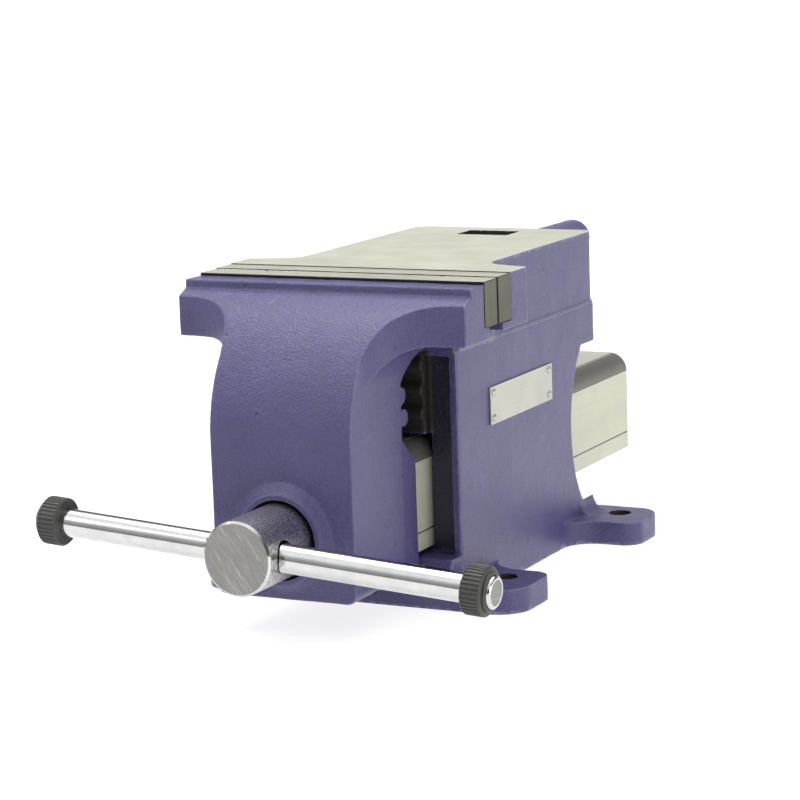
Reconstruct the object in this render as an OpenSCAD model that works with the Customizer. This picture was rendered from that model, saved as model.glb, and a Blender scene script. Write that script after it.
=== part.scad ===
// Stationary-base bench vise, 6 inch jaws, closed.
// X runs along the jaws, +Y points to the back of the vise, +Z is up.
// Y = 0 is the gripping face of the fixed jaw and Z = 0 is the bench.

/* [Jaws] */
// Width of both jaws
jaw_w = 152.4; // [130:0.1:160]
// Height of the ground top face above the bench
top_z = 160; // [155:0.5:170]
// Thickness of each jaw plate
plate_t = 14.4; // [10:0.1:16]
// Height of each jaw plate
plate_h = 22.5; // [18:0.5:24]
// Opening left between the jaw plates when closed
closed_gap = 0.4; // [0.2:0.1:1]
// Distance of the jaw screws from the middle
jaw_screw_x = 48; // [40:1:55]

/* [Moving jaw] */
// Half width of the moving jaw's body
front_half_w = 37; // [36.5:0.5:40]
// Distance from the gripping face to the flat front of the moving jaw
front_depth = 78; // [74:1:82]
// Depth of the moving jaw's wings, measured the same way
wing_depth = 36; // [32:1:38]
// Radius of the curved forehead
forehead_r = 65; // [60:1:68]
// Height of the moving jaw's underside
front_floor_z = 17.5; // [16:0.5:19]
// Height of the underside of the wings
wing_z = 131.5; // [129:0.5:134]
// Radius of the sweep from the body into the front of each wing
wing_sweep_r = 33; // [28:1:35]

/* [Fixed jaw and base] */
// Half width of the lower body
body_half_w = 52.6; // [51:0.1:54]
// Half width of the anvil neck above the ledge
neck_half_w = 51.4; // [48:0.1:51.6]
// Height of the ledge between body and neck
ledge_z = 123.3; // [118:0.5:128]
// Distance from the gripping face to the back of the anvil
anvil_y = 174; // [168:1:182]
// Height of the underside of the anvil overhang
overhang_z = 102; // [98:1:106]
// Distance of the bolting lugs' ends from the middle
lug_x = 87.5; // [86:0.5:90]
// Thickness of the bolting lugs
lug_t = 12; // [10:0.5:14]
// Distance of the bench bolts from the middle
bolt_x = 69; // [66:0.5:72]
// Distance of the front bench bolts from the gripping face
bolt_front_y = 15; // [12:0.5:18]
// Distance of the rear bench bolts from the gripping face
bolt_rear_y = 160; // [155:0.5:165]
// Radius of each bench bolt hole
bolt_r = 5.6; // [4.5:0.1:6.5]
// Width of the square-cornered tool hole in the anvil
hardy_w = 29; // [20:1:34]
// Length of that hole
hardy_l = 17; // [12:1:20]

/* [Slide bar] */
// Half width of the slide bar
bar_half_w = 34; // [33:0.1:34]
// Height of its underside
bar_z0 = 26.5; // [26.5:0.1:27]
// Height of its top
bar_z1 = 80; // [78:0.5:80]
// Radius of its top corners
bar_r = 10; // [8:0.5:12]
// Thickness of its walls
bar_wall = 10; // [9:0.5:11]
// Distance from the gripping face to its rear end
bar_rear_y = 258.5; // [250:0.5:265]

/* [Spindle and handle] */
// Height of the spindle's axis
axis_z = 46.5; // [46:0.5:48]
// Radius of the spindle
spindle_r = 12.5; // [11:0.5:12.5]
// Radius of the spindle's head
head_r = 17.4; // [16:0.1:18]
// Distance from the gripping face to the front of the head
head_y = 121; // [118:1:124]
// Distance from the gripping face to the handle's axis
handle_y = 107; // [105:1:108]
// Radius of the handle rod
rod_r = 6.7; // [6:0.1:7]
// Half of the rod's free length between its end rings
rod_half = 104; // [95:1:115]
// Radius of the end rings
ring_r = 11.4; // [10:0.1:12]
// Slope of the handle below the horizontal, in degrees
handle_tilt = 4; // [0:1:8]
// Play of the rod in its hole, all of it above the rod
rod_play = 0.5; // [0:0.1:0.8]
// How far the handle is pushed to the right
handle_shift = 4.5; // [0:0.5:8]

/* [Nameplate] */
// Length of the nameplate
name_l = 74; // [60:1:80]
// Height of the nameplate
name_h = 18.6; // [14:0.1:20]
// Height of its lower edge
name_z = 81; // [76:1:86]
// Distance of its front end from the gripping face
name_y = 37; // [32:1:42]

/* [Hidden] */
$fn = 96;

e = 1;                                   // cutters reach this far past a face
jaw_x = jaw_w / 2;
plate_z = top_z - plate_h;               // underside of the jaw plates
screw_z = top_z - plate_h / 2;
moving_face = -closed_gap;               // gripping face of the moving jaw
seat_y = moving_face - plate_t;          // seat of the moving jaw plate
rail_z = top_z - 2;                      // painted top of the moving jaw
rail_y = seat_y - 14.2;
step_z = rail_z - 4;
brow_z = top_z - 9;                      // where the wings' fronts begin
forehead_z = brow_z - sqrt(pow(forehead_r, 2) - pow(forehead_r - front_depth + wing_depth, 2));
lip_moving_y = -10.4;                    // casting below the moving plate
lip_fixed_y = 5.5;                       // casting below the fixed plate
wing_fillet = 20;
wing_back_y = 33.2;
fixed_wing_z = 133.4;

collar_y = -83;                          // front of the boss round the spindle
washer_y = -77;                          // floor of the boss's counterbore
wall_y = -66;                            // back of the moving jaw's front wall
boss_y = -11.2;                          // rear end of the bar socket
boss_half_w = front_half_w - 1;
boss_z = 87;                             // top of that socket at its root
throat_y = -26;                          // root of the moving pipe jaw
pipe_z = 89;                             // underside of the moving pipe jaw
tooth_pitch = 10.6;
tooth_r = 4.2;

wall_front_y = 8;                        // recessed front wall of the body
flange_y = 1.5;                          // front edges of the body's sides
apron_y = -12;
tunnel_half_w = 35;
tunnel_z0 = 26;
tunnel_z1 = 82;
block_half_w = 35;                       // fixed pipe jaw
waist_r = 66;                            // hollow of the body's back
waist_y = 203;
waist_z = 60;
nut_half_w = 22;
nut_y0 = 25;
nut_y1 = 70;
nut_z0 = 18;
nut_bolt_y = [36, 59];
bar_screw_x = bar_half_w - bar_wall / 2;
bar_screw_y = [-54, -24];
screw_end_y = 222;                       // rear end of the spindle
horn_r0 = 20;
horn_r1 = 10;
horn_z = top_z - 6;                      // crest of the horn
horn_y0 = anvil_y - 4;
horn_y1 = 265;
horn_slope = atan((horn_r0 - horn_r1) / (horn_y1 - horn_y0));

paint = "#5f5a8c";
steel = "#b9b9ad";
bright = "#d5d5d2";
bronze = "#a98a4f";
black = "#2b2b2c";

// Extrudes a Y-Z outline across X, centred.
module across_x(w) rotate([90, 0, 90]) linear_extrude(w, center = true) children();

// Extrudes an X-Z outline along Y.
module along_y(y0, y1) translate([0, y1, 0]) rotate([90, 0, 0]) linear_extrude(y1 - y0) children();

// A round piece along Y.
module rod_y(y0, y1, r, z = axis_z) translate([0, y0, z]) rotate([-90, 0, 0]) cylinder(h = y1 - y0, r = r);

// A turned piece along Y: its outline is given as [distance along Y, radius].
module turned_y(outline, z = axis_z)
    translate([0, 0, z]) rotate([-90, 0, 0]) rotate_extrude() polygon([for (p = outline) [p[1], p[0]]]);

// A box given by its two corners.
module block(low, high) translate(low) cube(high - low);

// Rectangle whose corners are rounded.
module round_rect(low, high, r) {
    square_part(low + [r, 0], high - [r, 0]);
    square_part(low + [0, r], high - [0, r]);
    for (x = [low[0] + r, high[0] - r], y = [low[1] + r, high[1] - r]) translate([x, y]) circle(r);
}

module square_part(low, high) translate(low) square(high - low);

// The concave corner that a fillet fills, with its corner at the origin.
module fillet_corner(r) difference() {
    translate([-e, -e]) square(r + e);
    translate([r, r]) circle(r);
}

module both_sides() {
    children();
    mirror([1, 0, 0]) children();
}

// Puts its children in the handle's frame: along local X, through the spindle.
module handle_frame(shift = handle_shift)
    translate([0, -handle_y, axis_z]) rotate([0, handle_tilt, 0]) translate([shift / cos(handle_tilt), 0, 0])
        rotate([0, 90, 0]) children();

// ---------------------------------------------------------------- fixed jaw
// Half of a pair of lugs, with a large corner of radius r0 at y0 and a smaller one at y1.
module lug_outline(y0, y1, r0, r1) {
    square_part([0, y0], [lug_x - r0, y1]);
    square_part([0, y0 + r0], [lug_x - r1, y1]);
    square_part([0, y0 + r0], [lug_x, y1 - r1]);
    translate([lug_x - r0, y0 + r0]) circle(r0);
    translate([lug_x - r1, y1 - r1]) circle(r1);
    translate([body_half_w, y1]) fillet_corner(16);
}

module body_side_outline() difference() {
    union() {
        square_part([flange_y, 0], [anvil_y, top_z]);
        square_part([lip_fixed_y - 4, fixed_wing_z - 12], [lip_fixed_y + 4, plate_z]);
    }
    intersection() {
        translate([waist_y, waist_z]) circle(waist_r);
        square_part([100, lug_t], [anvil_y + e, overhang_z]);
    }
    translate([anvil_y, overhang_z]) mirror([1, 0]) fillet_corner(5);
}

module neck_plan() {
    round_rect([-neck_half_w, 30], [neck_half_w, anvil_y], 7);
    square_part([-neck_half_w, flange_y], [neck_half_w, 60]);
    both_sides() {
        polygon([[0, plate_t], [jaw_x, plate_t], [jaw_x, wing_back_y], [58, 38], [0, 38]]);
        translate([neck_half_w, 37.5]) fillet_corner(12);
    }
}

module fixed_wing_outline() {
    square_part([-jaw_x, fixed_wing_z], [jaw_x, top_z]);
    square_part([-body_half_w, ledge_z - 4], [body_half_w, top_z]);
    both_sides() translate([neck_half_w, fixed_wing_z]) mirror([0, 1]) fillet_corner(9.5);
}

module fixed_casting() {
    intersection() {
        across_x(2 * body_half_w) body_side_outline();
        union() {
            block([-body_half_w, 0, 0], [body_half_w, 200, ledge_z - 1]);
            along_y(0, 200) polygon([[-body_half_w, ledge_z - 2], [body_half_w, ledge_z - 2],
                [body_half_w, ledge_z - 1.2], [body_half_w - 0.4, ledge_z - 0.3], [neck_half_w, ledge_z],
                [neck_half_w, top_z], [-neck_half_w, top_z], [-neck_half_w, ledge_z],
                [0.4 - body_half_w, ledge_z - 0.3], [-body_half_w, ledge_z - 1.2]]);
        }
        union() {
            linear_extrude(ledge_z) difference() {
                square_part([-body_half_w, 0], [body_half_w, anvil_y]);
                both_sides() translate([body_half_w, anvil_y]) mirror([1, 1]) fillet_corner(7);
            }
            linear_extrude(top_z) neck_plan();
        }
    }
    intersection() {
        linear_extrude(top_z) neck_plan();
        along_y(plate_t, 70) fixed_wing_outline();
    }
    // lip below the jaw plate
    along_y(lip_fixed_y, plate_t + e) intersection() {
        fixed_wing_outline();
        square_part([-jaw_x, ledge_z], [jaw_x, plate_z]);
    }
    // front apron and rear foot
    across_x(2 * body_half_w) polygon([[apron_y, 0], [anvil_y, 0], [anvil_y, lug_t], [wall_front_y, 24],
        [apron_y + 4, 24], [apron_y, 14]]);
    // bolting lugs with the fillets that carry them
    both_sides() {
        linear_extrude(lug_t) {
            lug_outline(apron_y, 30, 16, 9);
            mirror([0, 1]) lug_outline(-anvil_y - 1, -137, 14, 10);
        }
        along_y(apron_y + 12, 24) translate([body_half_w, lug_t]) fillet_corner(8);
        along_y(145, anvil_y - 10) translate([body_half_w, lug_t]) fillet_corner(8);
    }
    // horn: a level-topped cone with a round nose
    translate([0, horn_y0, horn_z - horn_r0]) rotate([-90 + horn_slope, 0, 0]) rotate_extrude()
        polygon(concat([[0, 0], [horn_r0, 0]],
            [for (a = [0:15:90]) [horn_r1 * cos(a), horn_y1 - horn_y0 + horn_r1 * sin(a)]]));
}

module fixed_pipe_jaw() across_x(2 * block_half_w) {
    square_part([2, tunnel_z1], [wall_front_y + e, ledge_z + 2]);
    for (i = [0:2]) translate([tooth_r - 1, tunnel_z1 + 10.2 + i * 11.6]) circle(tooth_r);
}

module fixed_body() color(paint) difference() {
    union() {
        difference() {
            fixed_casting();
            block([-body_half_w + 4, apron_y - e, 24], [body_half_w - 4, wall_front_y, ledge_z - 3]);
        }
        fixed_pipe_jaw();
    }
    block([-jaw_x - e, -5, plate_z], [jaw_x + e, plate_t, top_z + e]);
    // tunnel for the slide bar, with the trench that holds the nut
    along_y(apron_y - e, 200) round_rect([-tunnel_half_w, tunnel_z0], [tunnel_half_w, tunnel_z1], 2);
    block([-nut_half_w - 0.2, nut_y0 - 0.2, nut_z0], [nut_half_w + 0.2, nut_y1 + 0.2, tunnel_z0 + e]);
    for (y = nut_bolt_y) translate([0, y, 0]) {
        translate([0, 0, -e]) cylinder(h = 10 + e, r = 11);
        cylinder(h = 30, r = 5.5);
    }
    // bench bolts
    for (x = [-bolt_x, bolt_x], y = [bolt_front_y, bolt_rear_y])
        translate([x, y, -e]) cylinder(h = lug_t + 2 * e, r = bolt_r);
    // tool hole in the anvil
    translate([-hardy_w / 2, 145, top_z - 42]) cube([hardy_w, hardy_l, 42 + e]);
    for (x = [-jaw_screw_x, jaw_screw_x])
        translate([x, plate_t - e, screw_z]) rotate([-90, 0, 0]) cylinder(h = 24 + e, r = 5);
    for (p = rivet_places)
        translate([body_half_w - 6, p[0], p[1]]) rotate([0, 90, 0]) cylinder(h = 6 + e, r = 1);
}

// A jaw plate between two Y positions, bored for its two cap screws.
module jaw_plate(y0, y1, head_y0, head_y1) color(steel) difference() {
    block([-jaw_x, y0, plate_z], [jaw_x, y1, top_z]);
    for (x = [-jaw_screw_x, jaw_screw_x]) translate([x, 0, screw_z]) {
        translate([0, y0 - e, 0]) rotate([-90, 0, 0]) cylinder(h = y1 - y0 + 2 * e, r = 5.25);
        translate([0, head_y0, 0]) rotate([-90, 0, 0]) cylinder(h = head_y1 - head_y0, r = 8.2);
    }
}

module fixed_jaw_plate() jaw_plate(0, plate_t, -e, 10.2);

module moving_jaw_plate() jaw_plate(seat_y, moving_face, moving_face - 10.2, moving_face + e);

// Socket-head cap screw along +Y: the head's face is at y = 0.
module cap_screw(length) difference() {
    union() {
        rod_at(0, 10, 8);
        rod_at(9, 10 + length, 4.95);
    }
    rotate([-90, 0, 0]) translate([0, 0, -e]) cylinder(h = 5 + e, r = 4.6, $fn = 6);
}

module rod_at(y0, y1, r) translate([0, y0, 0]) rotate([-90, 0, 0]) cylinder(h = y1 - y0, r = r);

module fixed_jaw_screws() color(black)
    for (x = [-jaw_screw_x, jaw_screw_x]) translate([x, 0.2, screw_z]) cap_screw(26);

module moving_jaw_screws() color(black)
    for (x = [-jaw_screw_x, jaw_screw_x])
        translate([x, moving_face - 0.2, screw_z]) mirror([0, 1, 0]) cap_screw(16);

module spindle_nut() color(bronze) difference() {
    along_y(nut_y0, nut_y1) polygon([[-nut_half_w, nut_z0], [nut_half_w, nut_z0], [nut_half_w, 58], [14, 66],
        [-14, 66], [-nut_half_w, 58]]);
    rod_y(nut_y0 - e, nut_y1 + e, spindle_r + 0.05);
    for (y = nut_bolt_y) translate([0, y, nut_z0 - e]) cylinder(h = 13, r = 5);
}

module nut_bolts() color(steel) for (y = nut_bolt_y) translate([0, y, 0]) {
    translate([0, 0, 1.6]) cylinder(h = 6.4, r = 9.2, $fn = 6);
    translate([0, 0, 7]) cylinder(h = 22, r = 4.95);
}

module nut_washers() color(bright) for (y = nut_bolt_y) translate([0, y, 8]) difference() {
    cylinder(h = 2, r = 10);
    translate([0, 0, -e]) cylinder(h = 4, r = 5.3);
}

rivet_places = [for (y = [name_y + 4, name_y + name_l - 3.5], z = [name_z + 3, name_z + name_h - 3]) [y, z]];

module nameplate() color(bright) difference() {
    block([body_half_w, name_y, name_z], [body_half_w + 0.8, name_y + name_l, name_z + name_h]);
    for (p = rivet_places)
        translate([body_half_w - e, p[0], p[1]]) rotate([0, 90, 0]) cylinder(h = 4, r = 1.1);
}

module nameplate_rivets() color(bright) for (p = rivet_places)
    translate([body_half_w, p[0], p[1]]) rotate([0, 90, 0]) {
        translate([0, 0, -5]) cylinder(h = 6, r = 0.95);
        translate([0, 0, 0.8]) cylinder(h = 0.9, r1 = 1.9, r2 = 1.2);
    }

// --------------------------------------------------------------- moving jaw
module moving_side_outline() difference() {
    union() {
        // forehead, front and rail
        intersection() {
            translate([forehead_r - front_depth, forehead_z]) circle(forehead_r);
            square_part([-front_depth, forehead_z], [throat_y, brow_z]);
        }
        square_part([-front_depth, front_floor_z], [throat_y, forehead_z]);
        polygon([[throat_y - e, boss_z], [boss_y, boss_z - 15], [boss_y, front_floor_z],
            [throat_y - e, front_floor_z]]);
        polygon([[-wing_depth, wing_z - 20], [throat_y, wing_z - 20], [lip_moving_y, wing_z],
            [lip_moving_y, plate_z], [seat_y, plate_z], [seat_y, rail_z], [rail_y, rail_z], [rail_y, step_z],
            [-wing_depth, brow_z]]);
        // pipe jaw teeth
        for (i = [0:2])
            translate([throat_y + 2.4 - i * 1.8, pipe_z + 6 + i * tooth_pitch]) circle(tooth_r);
    }
    // hollow under the lip, above the teeth
    translate([lip_moving_y + 1.5, wing_z - 13.5]) circle(11);
}

module moving_plan() {
    square_part([-front_half_w, -front_depth - e], [front_half_w, boss_y + 14]);
    square_part([-jaw_x, -wing_depth], [jaw_x, 10]);
    both_sides() translate([front_half_w, -wing_depth]) mirror([0, 1]) fillet_corner(wing_sweep_r);
}

module moving_front_outline() {
    round_rect([-front_half_w, front_floor_z], [front_half_w, rail_z], 5);
    square_part([-jaw_x, wing_z], [jaw_x, rail_z]);
    both_sides() translate([front_half_w, wing_z]) mirror([0, 1]) fillet_corner(wing_fillet);
}

module moving_jaw() color(paint) difference() {
    union() {
        intersection() {
            across_x(jaw_w) moving_side_outline();
            linear_extrude(top_z) moving_plan();
            along_y(-120, 20) moving_front_outline();
        }
        // boss round the spindle
        turned_y([[-front_depth + 2, 0], [-front_depth + 2, 27], [-front_depth, 26.5], [-80, 24.6],
            [-81.5, 22.6], [collar_y, 21.6], [collar_y, 0]]);
    }
    rod_y(collar_y - e, washer_y, head_r + 1.4);
    rod_y(washer_y - e, wall_y + e, 15.1);
    // socket for the slide bar
    along_y(wall_y, 20) bar_section(0.15);
    for (x = [-bar_screw_x, bar_screw_x], y = bar_screw_y) translate([x, y, 0]) {
        cylinder(h = 30, r = 3.2);
        translate([0, 0, front_floor_z - e]) cylinder(h = 4 + e, r1 = 6.3 + e, r2 = 3.2);
    }
    for (x = [-jaw_screw_x, jaw_screw_x])
        translate([x, seat_y + e, screw_z]) rotate([90, 0, 0]) cylinder(h = 13 + e, r = 5);
    both_sides() block([boss_half_w, throat_y, 0], [front_half_w + e, 0, pipe_z - 1]);
}

// Outer outline of the slide bar, grown by a clearance.
module bar_section(grow) {
    square_part([-bar_half_w - grow, bar_z0 - grow], [bar_half_w + grow, bar_z1 - bar_r]);
    square_part([-bar_half_w + bar_r, bar_z0], [bar_half_w - bar_r, bar_z1 + grow]);
    for (x = [-bar_half_w + bar_r, bar_half_w - bar_r]) translate([x, bar_z1 - bar_r]) circle(bar_r + grow);
}

module slide_bar() color(steel) difference() {
    along_y(wall_y, bar_rear_y) difference() {
        bar_section(0);
        square_part([-bar_half_w + bar_wall, bar_z0 - e], [bar_half_w - bar_wall, bar_z1 - bar_wall]);
        both_sides() translate([bar_half_w, bar_z0 + 9]) circle(0.4);
    }
    for (x = [-bar_screw_x, bar_screw_x], y = bar_screw_y)
        translate([x, y, bar_z0 - e]) cylinder(h = 18, r = 3);
}

module bar_screws() color(black) for (x = [-bar_screw_x, bar_screw_x], y = bar_screw_y) translate([x, y, 0])
    difference() {
        union() {
            translate([0, 0, front_floor_z + 0.2]) cylinder(h = 3.6, r1 = 6.1, r2 = 2.95);
            translate([0, 0, front_floor_z + 1]) cylinder(h = 24, r = 2.95);
        }
        translate([0, 0, front_floor_z - e]) cylinder(h = 3 + e, r = 2.3, $fn = 6);
    }

module spindle_bush() color(bronze) difference() {
    rod_y(washer_y, wall_y, 15);
    rod_y(washer_y - e, wall_y + e, spindle_r + 0.05);
}

module thrust_washer() color(steel) difference() {
    rod_y(washer_y - 1.5, washer_y, head_r - 0.5);
    rod_y(washer_y - 2 - e, washer_y + e, spindle_r + 0.1);
}

module disc_springs() color(steel) for (s = [0, 1]) translate([0, wall_y + 2, 0]) mirror([0, s, 0])
    turned_y([[0.05, 18], [0.75, 18], [1.95, 13.1], [1.25, 13.1]]);

// ------------------------------------------------------- spindle and handle
module spindle() color(bright) difference() {
    union() {
        turned_y([[-head_y, 0], [-head_y, head_r - 1], [1 - head_y, head_r], [-79.6, head_r],
            [-78.6, head_r - 1], [-78.6, 0]]);
        turned_y([[-79, 0], [-79, spindle_r], [screw_end_y - 2, spindle_r], [screw_end_y, spindle_r - 2],
            [screw_end_y, 0]]);
    }
    // the rod lies at the bottom of its hole
    translate([0, 0, rod_play]) handle_frame() cylinder(h = 60, r = rod_r + rod_play + 0.25, center = true);
    translate([0, -56, axis_z]) rotate([0, 90, 0]) cylinder(h = 60, r = 3.05, center = true);
}

module spindle_collar() color(steel) difference() {
    turned_y([[-61.9, 12.6], [-61.9, 18], [-60.9, 19], [-51, 19], [-50, 18], [-50, 12.6]]);
    translate([0, -56, axis_z]) rotate([0, 90, 0]) cylinder(h = 60, r = 3.05, center = true);
}

module collar_pin() color(steel)
    translate([0, -56, axis_z]) rotate([0, 90, 0]) cylinder(h = 37, r = 3, center = true);

module handle_rod() color(bright) handle_frame() difference() {
    cylinder(h = 2 * rod_half + 21, r = rod_r, center = true);
    for (s = [-1, 1]) translate([0, 0, s * (rod_half + 4.5)]) cylinder(h = 13, r = 3.05, center = true);
}

module handle_ring(s) color(black) handle_frame() mirror([0, 0, s < 0 ? 1 : 0]) rotate_extrude()
    polygon([[rod_r + 0.1, rod_half], [ring_r - 0.8, rod_half], [ring_r, rod_half + 0.8],
        [ring_r, rod_half + 9], [ring_r - 1.2, rod_half + 10.2], [ring_r - 2.2, rod_half + 10.2], [ring_r - 2.2, rod_half + 11],
        [ring_r - 2.8, rod_half + 11.6], [rod_r + 1.1, rod_half + 11.6], [rod_r + 1.1, rod_half + 10.4],
        [rod_r + 0.1, rod_half + 10.4]]);

module handle_cap(s) color(bright) handle_frame() mirror([0, 0, s < 0 ? 1 : 0]) {
    rotate_extrude() polygon([[0, rod_half + 10.6], [rod_r + 0.8, rod_half + 10.6], [rod_r + 0.8, rod_half + 12.3],
        [rod_r, rod_half + 13.2], [0, rod_half + 13.2]]);
    translate([0, 0, rod_half + 0.5]) cylinder(h = 11, r = 3);
}

module handle_ring_left() handle_ring(-1);
module handle_ring_right() handle_ring(1);
module handle_cap_left() handle_cap(-1);
module handle_cap_right() handle_cap(1);

fixed_body();
fixed_jaw_plate();
fixed_jaw_screws();
spindle_nut();
nut_bolts();
nut_washers();
nameplate();
nameplate_rivets();
moving_jaw();
moving_jaw_plate();
moving_jaw_screws();
slide_bar();
bar_screws();
spindle_bush();
thrust_washer();
disc_springs();
spindle();
spindle_collar();
collar_pin();
handle_rod();
handle_ring_left();
handle_ring_right();
handle_cap_left();
handle_cap_right();
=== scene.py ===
"""Bench vise with 6 inch jaws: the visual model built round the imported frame.

X runs along the jaws, +Y to the back, Z is up, and Y = 0 is the fixed jaw's gripping face.
Lengths are in metres, as in the frame; mm() turns a maker's millimetres into them.
"""
import math

import bmesh
import bpy
import numpy as np
from mathutils import Matrix, Vector, noise


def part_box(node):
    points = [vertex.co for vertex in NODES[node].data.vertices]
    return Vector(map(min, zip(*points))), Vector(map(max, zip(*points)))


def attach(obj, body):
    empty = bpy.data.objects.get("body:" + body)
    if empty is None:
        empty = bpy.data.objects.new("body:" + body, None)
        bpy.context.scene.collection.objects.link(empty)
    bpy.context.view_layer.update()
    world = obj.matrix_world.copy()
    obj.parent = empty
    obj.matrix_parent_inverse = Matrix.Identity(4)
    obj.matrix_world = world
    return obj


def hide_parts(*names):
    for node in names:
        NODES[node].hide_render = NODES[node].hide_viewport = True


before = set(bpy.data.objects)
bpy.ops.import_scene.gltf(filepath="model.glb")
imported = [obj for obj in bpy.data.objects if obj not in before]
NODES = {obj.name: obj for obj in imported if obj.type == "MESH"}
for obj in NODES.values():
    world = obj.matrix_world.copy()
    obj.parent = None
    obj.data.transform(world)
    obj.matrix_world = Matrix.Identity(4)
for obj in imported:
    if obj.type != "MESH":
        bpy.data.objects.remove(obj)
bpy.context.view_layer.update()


def mm(value):
    return value * 0.001


def mm_point(*values):
    return Vector(mm(v) for v in values)


# ------------------------------------------------------------------ sizes of the vise, in mm
JAW_WIDTH = 152.4
TOP_Z = 160.0
PLATE_T = 14.4
PLATE_H = 22.5
PLATE_MIDDLE = TOP_Z - PLATE_H / 2
CLOSED_GAP = 0.4
JAW_SCREW_X = 48.0
TOOL_HOLE_X = 14.5
TOOL_HOLE_Y = (145.0, 162.0)
TOOL_HOLE_DEEP = 44.0
BENCH_BOLT_X = 69.0
BENCH_BOLT_Y = (15.0, 160.0)
BENCH_BOLT_R = 5.6
FRONT_Y = -78.0
AXIS_Z = 46.5
HANDLE_Y = -107.0
HANDLE_TILT = math.radians(4)
HANDLE_SHIFT = 4.5
BORE_R = 19.0
ROD_R = 6.7
ROD_HALF = 104.0
RING_R = 11.4
SCREW_R = 12.5
SCREW_ROOT_R = 10.2
SCREW_PITCH = 5.0
THREAD_Y = (-46.0, 222.0)
BODY_SIDE_X = 52.6
LEDGE_Z = 123.3
PIPE_JAW_X = 36.4
PIPE_JAW_Z = (84.0, 131.0)
THROAT_Y = (-34.0, 12.0)
RECESS_X = 48.4
RECESS_Z = (24.5, 120.0)
BAR_WALL = 5.0
NUT_BOLT_Y = (36.0, 59.0)
BAR_SCREW_X = 29.0
BAR_SCREW_Y = (-54.0, -24.0)
RIVET_Y = (41.0, 107.5)
RIVET_Z = (84.0, 96.6)


# ------------------------------------------------------------------ camera, floor and light
def set_camera():
    azimuth, elevation, roll = math.radians(27.2), math.radians(10.31), math.radians(-2.05)
    back = Vector((
        math.sin(azimuth) * math.cos(elevation),
        -math.cos(azimuth) * math.cos(elevation),
        math.sin(elevation),
    ))
    right = Vector((math.cos(azimuth), math.sin(azimuth), 0))
    up = back.cross(right)
    turned_right = right * math.cos(roll) + up * math.sin(roll)
    turned_up = up * math.cos(roll) - right * math.sin(roll)
    lens = bpy.data.cameras.new("camera")
    lens.sensor_width = 36
    lens.lens = 121.39
    lens.clip_start = 0.05
    lens.clip_end = 100
    camera = bpy.data.objects.new("camera", lens)
    bpy.context.scene.collection.objects.link(camera)
    turn = Matrix((turned_right, turned_up, back)).transposed()
    camera.matrix_world = Matrix.Translation(mm_point(603.55, -1129.80, 329.72)) @ turn.to_4x4()
    bpy.context.scene.camera = camera


set_camera()
bpy.context.scene.view_settings.view_transform = "Standard"


def colour(code):
    """A colour given as sRGB hex, in the linear values that the shaders take."""
    parts = [int(code[i:i + 2], 16) / 255 for i in (1, 3, 5)]
    return [p / 12.92 if p <= 0.04045 else ((p + 0.055) / 1.055) ** 2.4 for p in parts] + [1.0]


def put(tree, kind, inputs=None, **settings):
    """Adds a node: settings are its properties, and inputs its sockets.

    Each input is a value, a socket to link, or a node, whose first output in use is linked.
    """
    node = tree.nodes.new(kind)
    for name, value in settings.items():
        setattr(node, name, value)
    for key, value in (inputs or {}).items():
        if isinstance(value, bpy.types.Node):
            value = next(output for output in value.outputs if output.enabled)
        if isinstance(value, bpy.types.NodeSocket):
            tree.links.new(value, node.inputs[key])
        else:
            node.inputs[key].default_value = value
    return node


def set_stops(ramp, stops):
    """Gives a colour ramp its stops, as (place, grey)."""
    elements = ramp.color_ramp.elements
    while len(elements) < len(stops):
        elements.new(0.5)
    for element, (place, grey) in zip(elements, stops):
        element.position = place
        element.color = [grey, grey, grey, 1]


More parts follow.
